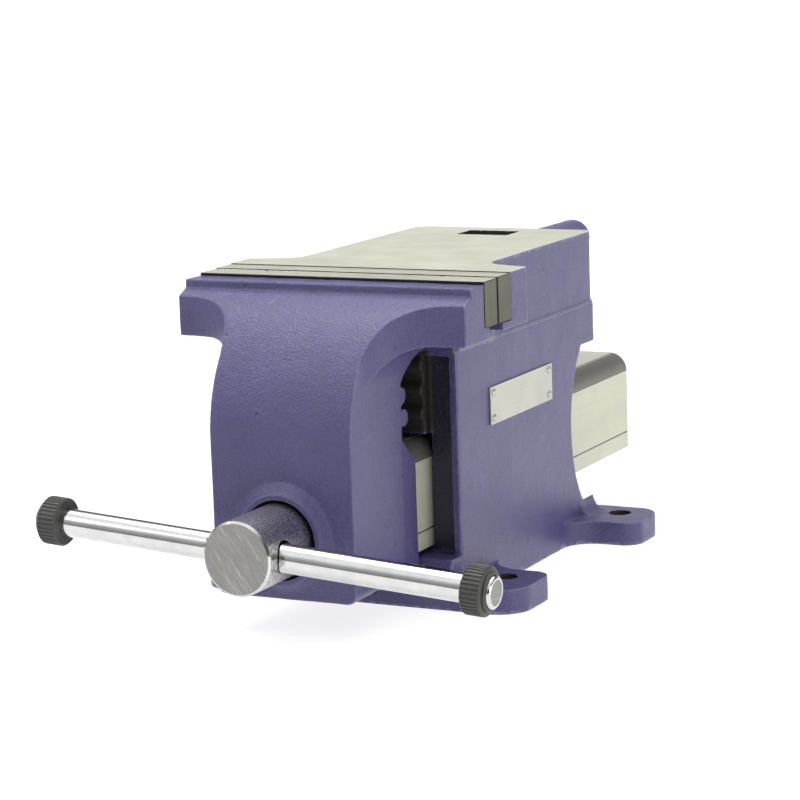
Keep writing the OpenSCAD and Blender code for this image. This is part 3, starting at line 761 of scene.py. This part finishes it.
def make_tooth_tree():
    """Pyramids in rows on a face, left out round the two screws."""
    tree, given = new_tree("jaw_teeth", (
        ("Pitch", "Float"), ("Columns", "Int"), ("Rows", "Int"), ("Tooth height", "Float"),
        ("Screw distance", "Float"), ("Screw clearance", "Float"), ("Place", "Vector"),
        ("Turn", "Vector"), ("Material", "Material")))
    value = given.outputs
    span = [
        put(tree, "ShaderNodeMath", {0: put(tree, "ShaderNodeMath", {0: value[label], 1: 1.0},
                                            operation="SUBTRACT").outputs["Value"], 1: value["Pitch"]},
            operation="MULTIPLY").outputs["Value"]
        for label in ("Columns", "Rows")
    ]
    grid = put(tree, "GeometryNodeMeshGrid", {
        "Size X": span[0], "Size Y": span[1], "Vertices X": value["Columns"], "Vertices Y": value["Rows"]})
    spot = put(tree, "ShaderNodeSeparateXYZ",
               {"Vector": put(tree, "GeometryNodeInputPosition").outputs["Position"]}).outputs
    side = put(tree, "ShaderNodeMath", {0: spot["X"]}, operation="ABSOLUTE")
    off = put(tree, "ShaderNodeMath", {0: side, 1: value["Screw distance"]},
              operation="SUBTRACT")
    reach = put(tree, "ShaderNodeVectorMath", {0: put(tree, "ShaderNodeCombineXYZ", {
        "X": off, "Y": spot["Y"]}).outputs["Vector"]}, operation="LENGTH")
    clear = put(tree, "FunctionNodeCompare", {0: reach, 1: value["Screw clearance"]},
                data_type="FLOAT", operation="GREATER_THAN")
    foot = put(tree, "ShaderNodeMath", {0: value["Pitch"], 1: math.sqrt(0.5)}, operation="MULTIPLY")
    tooth = put(tree, "GeometryNodeMeshCone", {"Vertices": 4, "Radius Bottom": foot,
                                               "Radius Top": 0.0, "Depth": value["Tooth height"]})
    square = put(tree, "GeometryNodeTransform", {"Geometry": tooth,
                                                 "Rotation": (0, 0, math.radians(45))})
    rows = put(tree, "GeometryNodeInstanceOnPoints", {"Points": grid,
                                                      "Selection": clear,
                                                      "Instance": square})
    turn = put(tree, "FunctionNodeEulerToRotation", {"Euler": value["Turn"]})
    placed = put(tree, "GeometryNodeTransform", {"Geometry": rows,
                                                 "Translation": value["Place"],
                                                 "Rotation": turn})
    end_tree(tree, placed.outputs["Geometry"], value["Material"])
    return tree


def make_thread_tree():
    """A square-cut thread wound on its core, along Y."""
    tree, given = new_tree("spindle_thread", (
        ("Pitch", "Float"), ("Turns", "Float"), ("Length", "Float"), ("Root radius", "Float"),
        ("Crest radius", "Float"), ("Start", "Vector"), ("Material", "Material")))
    value = given.outputs
    wound = put(tree, "GeometryNodeCurveSpiral", {
        "Resolution": 40, "Rotations": value["Turns"], "Start Radius": value["Root radius"],
        "End Radius": value["Root radius"], "Height": value["Length"], "Reverse": True})
    upright = put(tree, "GeometryNodeSetCurveNormal", {"Curve": wound}, mode="Z_UP")
    depth = put(tree, "ShaderNodeMath", {0: value["Crest radius"], 1: value["Root radius"]},
                operation="SUBTRACT")
    corners = []
    for height, width in ((mm(-0.4), -0.36), (depth.outputs["Value"], -0.21),
                          (depth.outputs["Value"], 0.21), (mm(-0.4), 0.36)):
        across = put(tree, "ShaderNodeMath", {0: value["Pitch"], 1: width}, operation="MULTIPLY")
        corners.append(put(tree, "ShaderNodeCombineXYZ", {"X": height, "Y": across}))
    ridge = put(tree, "GeometryNodeCurvePrimitiveQuadrilateral",
                {f"Point {i + 1}": corner for i, corner in enumerate(corners)},
                mode="POINTS")
    swept = put(tree, "GeometryNodeCurveToMesh", {"Curve": upright,
                                                  "Profile Curve": ridge,
                                                  "Fill Caps": True})
    grown = put(tree, "ShaderNodeMath", {0: value["Length"], 1: value["Pitch"]}, operation="ADD")
    core = put(tree, "GeometryNodeMeshCylinder", {"Vertices": 64, "Radius": value["Root radius"],
                                                  "Depth": grown})
    half = put(tree, "ShaderNodeMath", {0: value["Length"], 1: 0.5}, operation="MULTIPLY")
    middle = put(tree, "ShaderNodeCombineXYZ", {"Z": half})
    lifted = put(tree, "GeometryNodeTransform", {"Geometry": core,
                                                 "Translation": middle})
    both = put(tree, "GeometryNodeJoinGeometry", {"Geometry": swept})
    tree.links.new(lifted.outputs["Geometry"], both.inputs["Geometry"])
    laid = put(tree, "GeometryNodeTransform", {"Geometry": both,
                                               "Translation": value["Start"],
                                               "Rotation": (math.radians(-90), 0, 0)})
    end_tree(tree, laid.outputs["Geometry"], value["Material"])
    return tree


def make_flute_tree():
    """Round ribs set in a ring round Z."""
    tree, given = new_tree("grip_ribs", (
        ("Count", "Int"), ("Circle radius", "Float"), ("Rib radius", "Float"), ("Rib length", "Float"),
        ("Height", "Float"), ("Material", "Material")))
    value = given.outputs
    circle = put(tree, "GeometryNodeMeshCircle", {"Vertices": value["Count"],
                                                  "Radius": value["Circle radius"]})
    rib = put(tree, "GeometryNodeMeshCylinder", {"Vertices": 10, "Side Segments": 1,
                                                 "Radius": value["Rib radius"],
                                                 "Depth": value["Rib length"]})
    ribs = put(tree, "GeometryNodeInstanceOnPoints", {"Points": circle,
                                                      "Instance": rib})
    lifted = put(tree, "GeometryNodeTransform", {
        "Geometry": ribs,
        "Translation": put(tree, "ShaderNodeCombineXYZ", {"Z": value["Height"]}).outputs["Vector"]})
    end_tree(tree, lifted.outputs["Geometry"], value["Material"])
    return tree


def make_fastener_tree():
    """Copies of one fastener at every point of the mesh, all turned the same way."""
    tree, given = new_tree("set_out_fasteners", (
        ("Fastener", "Object"), ("Turn", "Vector"), ("Material", "Material")))
    value = given.outputs
    one = put(tree, "GeometryNodeObjectInfo", {"Object": value["Fastener"]})
    turn = put(tree, "FunctionNodeEulerToRotation", {"Euler": value["Turn"]})
    copies = put(tree, "GeometryNodeInstanceOnPoints", {"Points": value["Geometry"],
                                                        "Instance": one.outputs["Geometry"],
                                                        "Rotation": turn})
    end_tree(tree, copies.outputs["Instances"], value["Material"])
    return tree


TEETH = make_tooth_tree()
THREAD = make_thread_tree()
FLUTES = make_flute_tree()
FASTENERS = make_fastener_tree()
TOOTH_PITCH = 1.9
TOOTH_H = 0.5
TOOTH_ROOT = 0.04          # how far a tooth's foot is sunk in the plate


def make_teeth(name, body, face_y, way):
    """The pyramid teeth of one gripping face, which points along way."""
    teeth = grow(name, TEETH, {
        "Pitch": mm(TOOTH_PITCH),
        "Columns": int((JAW_WIDTH - 1.5) / TOOTH_PITCH),
        "Rows": int((PLATE_H - 1.5) / TOOTH_PITCH),
        "Tooth height": mm(TOOTH_H + TOOTH_ROOT),
        "Screw distance": mm(JAW_SCREW_X),
        "Screw clearance": mm(9.6),
        "Place": mm_point(0, face_y - way * (TOOTH_H + TOOTH_ROOT), PLATE_MIDDLE),
        "Turn": (math.radians(-90 * way), 0, 0),
        "Material": JAW_STEEL,
    })
    hand_over(teeth, body, "jaw_steel")


make_slide_bar()
make_jaw_plate("fixed_jaw_plate", "fixed_jaw_plate_ground", "base", 0.0, 1, 0.35)
make_teeth("fixed_jaw_teeth", "base", 0.0, -1)
make_jaw_plate("moving_jaw_plate", "moving_jaw_plate_ground", "front", -CLOSED_GAP, -1, 0.75)
make_teeth("moving_jaw_teeth", "front", -CLOSED_GAP, 1)


# ------------------------------------------------------------------ turned pieces and fasteners
def turned(name, profile, *materials, sides=48, closed=False):
    """A shape turned about Z. Each ring is (radius, z), or (radius, z, 6) for a hexagon.

    A closed profile goes round a hole; any other starts and ends on the axis.
    """
    shape = bmesh.new()
    rings = []
    for radius, z, *corners in profile:
        if radius == 0:
            rings.append([shape.verts.new((0, 0, mm(z)))])
            continue
        ring = []
        for i in range(sides):
            angle = math.tau * i / sides
            reach = radius
            if corners:
                half = math.pi / corners[0]
                reach = radius * math.cos(half) / math.cos(angle % (2 * half) - half)
            ring.append(shape.verts.new(mm_point(reach * math.cos(angle), reach * math.sin(angle), z)))
        rings.append(ring)
    pairs = list(zip(rings, rings[1:] + rings[:1])) if closed else list(zip(rings, rings[1:]))
    for lower, upper in pairs:
        for i in range(sides):
            j = (i + 1) % sides
            loop = [lower[i % len(lower)], lower[j % len(lower)], upper[j % len(upper)],
                    upper[i % len(upper)]]
            shape.faces.new(list(dict.fromkeys(loop)))
    bmesh.ops.recalc_face_normals(shape, faces=shape.faces)
    mesh = bpy.data.meshes.new(name)
    shape.to_mesh(mesh)
    shape.free()
    piece = new_piece(name, mesh, *materials)
    smooth_by_angle(piece, 30)
    return piece


def set_out(name, fastener, places, turn, material):
    """Sets copies of a fastener at a list of places, in mm, and removes the pattern piece."""
    spots = bpy.data.meshes.new(name)
    spots.from_pydata([mm_point(*place) for place in places], [], [])
    piece = grow(name, FASTENERS, {"Fastener": fastener, "Turn": turn, "Material": material}, spots)
    pattern = fastener.data
    bpy.data.objects.remove(fastener)
    bpy.data.meshes.remove(pattern)
    smooth_by_angle(piece, 30)
    return piece


def cap_screw(shank_mm):
    """A socket-head cap screw: its head's face is at z = 0 and its shank runs up Z."""
    return turned("cap_screw", [
        (0, 5), (4.6, 5, 6), (4.6, 0.35, 6), (5.0, 0), (7.1, 0), (7.7, 0.25), (8, 0.9), (8, 10),
        (4.95, 10), (4.95, 9.2 + shank_mm), (4.2, 10 + shank_mm), (0, 10 + shank_mm)])


def make_fasteners():
    along_y, against_y = (math.radians(-90), 0, 0), (math.radians(90), 0, 0)
    screw_x = (-JAW_SCREW_X, JAW_SCREW_X)
    hand_over(
        set_out("fixed_jaw_cap_screws", cap_screw(26), [(x, 0.2, PLATE_MIDDLE) for x in screw_x],
                along_y, BLACK_OXIDE),
        "base", "black_screws", "fixed_jaw_screws")
    hand_over(
        set_out("moving_jaw_cap_screws", cap_screw(16),
                [(x, -CLOSED_GAP - 0.2, PLATE_MIDDLE) for x in screw_x], against_y, BLACK_OXIDE),
        "front", "black_screws", "moving_jaw_screws")
    hex_bolt = turned("hex_bolt", [
        (0, 1.8), (6.9, 1.8), (7.4, 1.6), (8.0, 1.6), (9.2, 2.5, 6), (9.2, 8, 6), (4.95, 8),
        (4.95, 28.2), (4.2, 29), (0, 29)])
    hand_over(set_out("nut_hex_bolts", hex_bolt, [(0, y, 0) for y in NUT_BOLT_Y], (0, 0, 0), ZINC),
              "base", "zinc_hardware", "nut_bolts")
    washer = turned("washer", [
        (5.3, 8.2), (5.5, 8), (9.7, 8), (10, 8.3), (10, 10), (5.3, 10)], closed=True)
    hand_over(set_out("nut_plain_washers", washer, [(0, y, 0) for y in NUT_BOLT_Y], (0, 0, 0), ZINC),
              "base", "zinc_hardware", "nut_washers")
    countersunk = turned("countersunk_screw", [
        (0, 20.5), (2.3, 20.5, 6), (2.3, 17.9, 6), (2.6, 17.7), (5.9, 17.7), (6.1, 17.85), (2.95, 21.3),
        (2.95, 41.9), (2.4, 42.5), (0, 42.5)])
    hand_over(
        set_out("bar_socket_screws", countersunk,
                [(x, y, 0) for x in (-BAR_SCREW_X, BAR_SCREW_X) for y in BAR_SCREW_Y], (0, 0, 0),
                BLACK_OXIDE),
        "front", "black_screws", "bar_screws")
    rivet = turned("domed_rivet", [
        (0, -5), (0.95, -5), (0.95, 0.8), (1.9, 0.8), (1.85, 1.1), (1.55, 1.42), (1.0, 1.63), (0, 1.7)],
        sides=24)
    hand_over(
        set_out("nameplate_domed_rivets", rivet, [(BODY_SIDE_X, y, z) for y in RIVET_Y for z in RIVET_Z],
                (0, math.radians(90), 0), NAME_METAL),
        "base", "plate_aluminium", "nameplate_rivets")


make_fasteners()
hand_over(eased("nameplate", "blank_nameplate", 0.18, NAME_METAL),
          "base", "plate_aluminium", "nameplate")


# ------------------------------------------------------------------ spindle and handle
def handle_turn(side):
    """Takes a piece turned about Z to one end of the handle: side is 1 on the right, -1 on the left."""
    return (
        Matrix.Translation(mm_point(0, HANDLE_Y, AXIS_Z))
        @ Matrix.Rotation(HANDLE_TILT, 4, "Y")
        @ Matrix.Translation(mm_point(HANDLE_SHIFT / math.cos(HANDLE_TILT), 0, 0))
        @ Matrix.Rotation(math.radians(90 * side), 4, "Y")
    )


def make_spindle():
    """The head with its faced end and cross hole, and the thread behind the bush."""
    head = new_piece("spindle_head", merged_copy("spindle"), FORGED, SCRATCHED, CHROME, TURNED_STEEL)
    shape = bmesh.new()
    shape.from_mesh(head.data)
    everything = shape.verts[:] + shape.edges[:] + shape.faces[:]
    cut_y = mm(THREAD_Y[0] + 1)
    bmesh.ops.bisect_plane(shape, geom=everything, dist=mm(0.001), plane_co=(0, cut_y, 0),
                           plane_no=(0, 1, 0), clear_outer=True)
    rim = [edge for edge in shape.edges if edge.is_boundary]
    bmesh.ops.contextual_create(shape, geom=rim)
    bmesh.ops.dissolve_limit(shape, angle_limit=math.radians(0.5), verts=shape.verts, edges=shape.edges)
    bmesh.ops.recalc_face_normals(shape, faces=shape.faces)
    shape.to_mesh(head.data)
    shape.free()
    break_edges(head, 0.3, angle=25)
    face_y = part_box("spindle")[0][1] * 1000
    paint_faces(head, SCRATCHED, lambda middle, normal: normal.y < -0.97 and middle.y < face_y + 0.2)
    paint_faces(head, CHROME, lambda middle, normal: -0.97 < normal.y < -0.2 and middle.y < face_y + 1.4)
    paint_faces(head, TURNED_STEEL, lambda middle, normal: middle.y > FRONT_Y)
    hand_over(head, "screw", "spindle_steel", "spindle")
    length = THREAD_Y[1] - THREAD_Y[0] - SCREW_PITCH
    thread = grow("spindle_thread", THREAD, {
        "Pitch": mm(SCREW_PITCH),
        "Turns": length / SCREW_PITCH,
        "Length": mm(length),
        "Root radius": mm(SCREW_ROOT_R),
        "Crest radius": mm(SCREW_R),
        "Start": mm_point(0, THREAD_Y[0] + SCREW_PITCH / 2, AXIS_Z),
        "Material": TURNED_STEEL,
    })
    smooth_by_angle(thread, 30)
    hand_over(thread, "screw", "spindle_steel")


def make_handle_end(name, side):
    """The rubber ring with its ribs, and the turned cap that holds it on."""
    ring = turned("ring_body", [
        (ROD_R + 0.1, ROD_HALF), (RING_R - 0.8, ROD_HALF), (RING_R - 0.1, ROD_HALF + 0.7),
        (RING_R - 0.55, ROD_HALF + 1.0), (RING_R - 0.55, ROD_HALF + 8.8), (RING_R - 0.1, ROD_HALF + 9.1),
        (RING_R - 1.2, ROD_HALF + 10.2), (RING_R - 2.2, ROD_HALF + 10.2), (RING_R - 2.2, ROD_HALF + 11),
        (RING_R - 2.8, ROD_HALF + 11.6), (ROD_R + 1.1, ROD_HALF + 11.6), (ROD_R + 1.1, ROD_HALF + 10.4),
        (ROD_R + 0.1, ROD_HALF + 10.4)], RUBBER, sides=72, closed=True)
    ribs = grow("ring_ribs", FLUTES, {
        "Count": 36, "Circle radius": mm(RING_R - 0.62), "Rib radius": mm(0.62), "Rib length": mm(8.2),
        "Height": mm(ROD_HALF + 4.9), "Material": RUBBER,
    })
    smooth_by_angle(ribs, 40)
    shape = bmesh.new()
    shape.from_mesh(ring.data)
    shape.from_mesh(ribs.data)
    shape.to_mesh(ring.data)
    shape.free()
    bpy.data.objects.remove(ribs)
    smooth_by_angle(ring, 40)
    ring.data.transform(handle_turn(side))
    ring.name = "grip_ring_" + name
    hand_over(ring, "handle", "ring_rubber", "handle_ring_" + name)
    top = ROD_HALF + 13.2

    def is_turned_in(middle, normal):
        return middle.z > top - 0.3 and middle.xy.length < ROD_R - 0.8

    cap = turned("turned_cap_" + name, [
        (0, ROD_HALF + 0.6), (2.6, ROD_HALF + 0.6), (3, ROD_HALF + 1), (3, ROD_HALF + 10.6),
        (ROD_R + 0.8, ROD_HALF + 10.6), (ROD_R + 0.8, top - 0.95), (ROD_R + 0.6, top - 0.6),
        (ROD_R, top - 0.05), (ROD_R - 0.5, top), (ROD_R - 0.9, top - 0.12), (4.6, top - 0.2),
        (2.4, top - 0.16), (0, top - 0.2)], CHROME, SCRATCHED, sides=64)
    paint_faces(cap, SCRATCHED, is_turned_in)
    cap.data.transform(handle_turn(side))
    hand_over(cap, "handle", "handle_chrome", "handle_cap_" + name)


make_spindle()
make_handle_end("left", -1)
make_handle_end("right", 1)

for node, material in (
    ("spindle_nut", BRONZE), ("spindle_bush", BRONZE), ("thrust_washer", ZINC), ("disc_springs", ZINC),
    ("spindle_collar", ZINC), ("collar_pin", ZINC), ("handle_rod", CHROME),
):
    NODES[node].data.materials.clear()
    NODES[node].data.materials.append(material)


# ------------------------------------------------------------------ floor
def lay_floor():
    """A wide disc of lit white acrylic under the vise."""
    shape = bmesh.new()
    bmesh.ops.create_circle(shape, cap_ends=True, radius=14, segments=96)
    mesh = bpy.data.meshes.new("floor")
    shape.to_mesh(mesh)
    shape.free()
    mesh.transform(Matrix.Translation((0, 0, -mm(0.2))))
    new_piece("floor", mesh, LIGHT_TABLE)


lay_floor()
